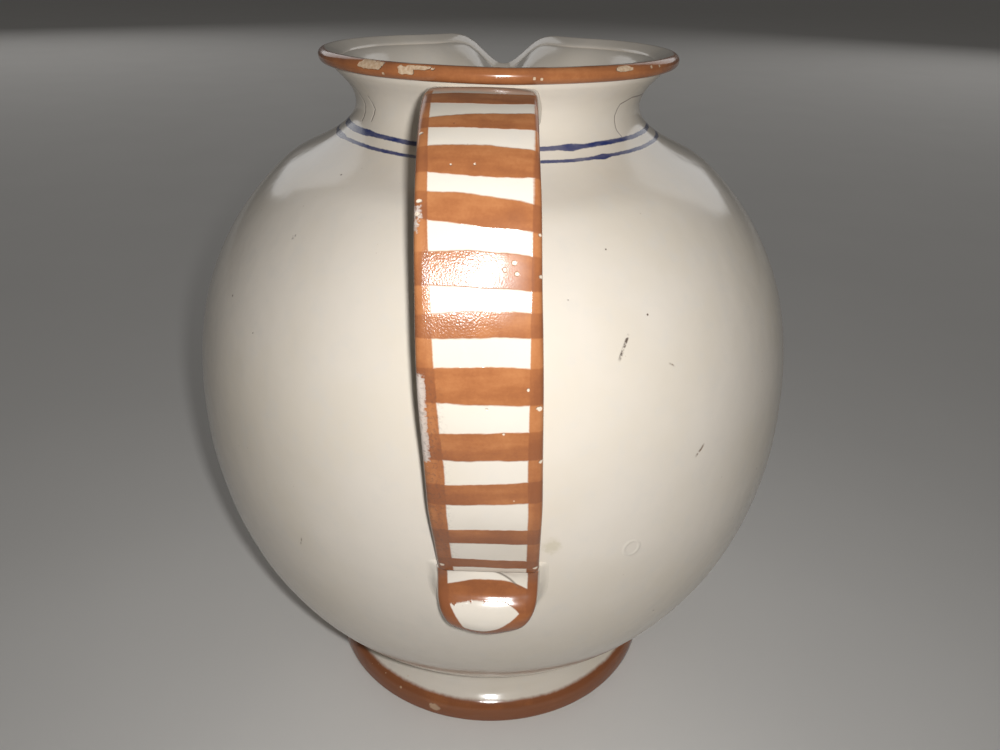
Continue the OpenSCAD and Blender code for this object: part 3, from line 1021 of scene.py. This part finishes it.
# ---- The slip at the handle's two ends ----
# A collar of soft clay is thumbed round the root under the lip, and a low bank
# is smeared round the tongue with a wet finger; the glaze covers both.
collar_spread = 1.1


def form_collar(point):
    """A short sleeve round the strap's root, wide at the neck and thin on the strap."""
    thin = ramp(point.z + 4.0, 9.0)
    uneven = noise.noise(Vector((point.x / 6, point.y / 6, point.z / 4))) * 0.3 * (1 - thin)
    spread = collar_spread * (1 - thin) ** 1.5 + 0.05 + uneven
    rise = (point.y + strap_t / 2) * (1 + 2 * spread / strap_t) - strap_t / 2
    radius, height, leaned = off_strap(point.z, rise)
    return Vector((point.x * (1 + 2 * spread / strap_w) + leaned, -radius, height))


collar = draw_strip("handle_top_joint", section, [-6.5, -5.0, -3.5, -2.0, -0.8, 0.4, 1.6, 2.8, 4.0, 5.2])
reshape(collar, form_collar)
smooth_off(collar)
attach(collar, "root")
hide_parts("handle_top_joint")
collar_glaze = Glaze("slip_collar_glaze", mottle=1.4)
collar_grit = collar_glaze.clouds(collar_glaze.here, 1.6, 4.0)
collar_glaze.height = collar_glaze.height + collar_grit * 0.12
collar_glaze.lay_on(collar)

bank_top = strap_curve[3][1] + 0.6
bank_low = tongue_tip_z - 2.2
bank_rings = 20
bank_side = 2.6
bank_rise = 4.2


def tongue_face(height):
    """How far out the tongue's face stands at a height."""
    for (low_r, low_z), (high_r, high_z) in zip(tongue_profile[::-1], tongue_profile[-2::-1]):
        if height <= high_z:
            return low_r + (high_r - low_r) * max(height - low_z, 0) / (high_z - low_z)
    return tongue_profile[0][0]


def form_bank(point):
    """Takes ring number z of the straight bar to a level slice of the smeared bank.
    It is banked up against the tongue's side walls and runs out to nothing on the globe."""
    share = point.z / bank_rings
    height = bank_top + (bank_low - bank_top) * share
    drop = min(max(tongue_round_z - height, 0) / (tongue_round_z - bank_low), 0.99)
    reach = bank_side * (0.45 + 0.55 * min((1 - share) * 1.6, 1.0))
    half_tongue = tongue_w / 2 * max((1 - drop * drop) ** 0.56, 0.12)
    across = point.x / (strap_w / 2)
    side = math.copysign(math.sin(min(abs(across), 1.0) * math.pi / 2), across) * (half_tongue + reach)
    side += noise.noise(Vector((across * 2, height / 4, 1.0))) * 0.3
    on_globe = math.sqrt(max(globe_point(turn_at_height(height))[0] ** 2 - (side + tongue_shift) ** 2, 1))
    beyond = ramp(abs(side) - half_tongue + 1.2, reach + 1.2)
    ends = math.sin(math.pi * min(max(share, 0.02), 0.98)) ** 0.45
    banked = bank_rise * (1 - beyond) ** 2 * ends * (1 - 0.55 * share) - 0.12
    hidden = ramp(half_tongue - abs(side), 1.5)
    banked = min(banked, tongue_face(height) - 0.3 - 0.9 * hidden - on_globe)
    depth = -point.y / strap_t
    return Vector((side + tongue_shift, -(on_globe + banked - depth * (banked + 2.0)), height))


bank = draw_strip("tongue_joint_slip", flat_section(strap_w, strap_t, 0.6, across_steps=26, corner_steps=1),
                  list(range(bank_rings + 1)))
reshape(bank, form_bank)
smooth_off(bank)
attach(bank, "root")
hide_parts("tongue_joint_slip")
bank_glaze = Glaze("slip_bank_glaze", mottle=1.4)
bank_grit = bank_glaze.clouds(bank_glaze.here, 1.8, 4.0)
bank_glaze.height = bank_glaze.height + bank_grit * 0.14
bank_glaze.lay_on(bank)
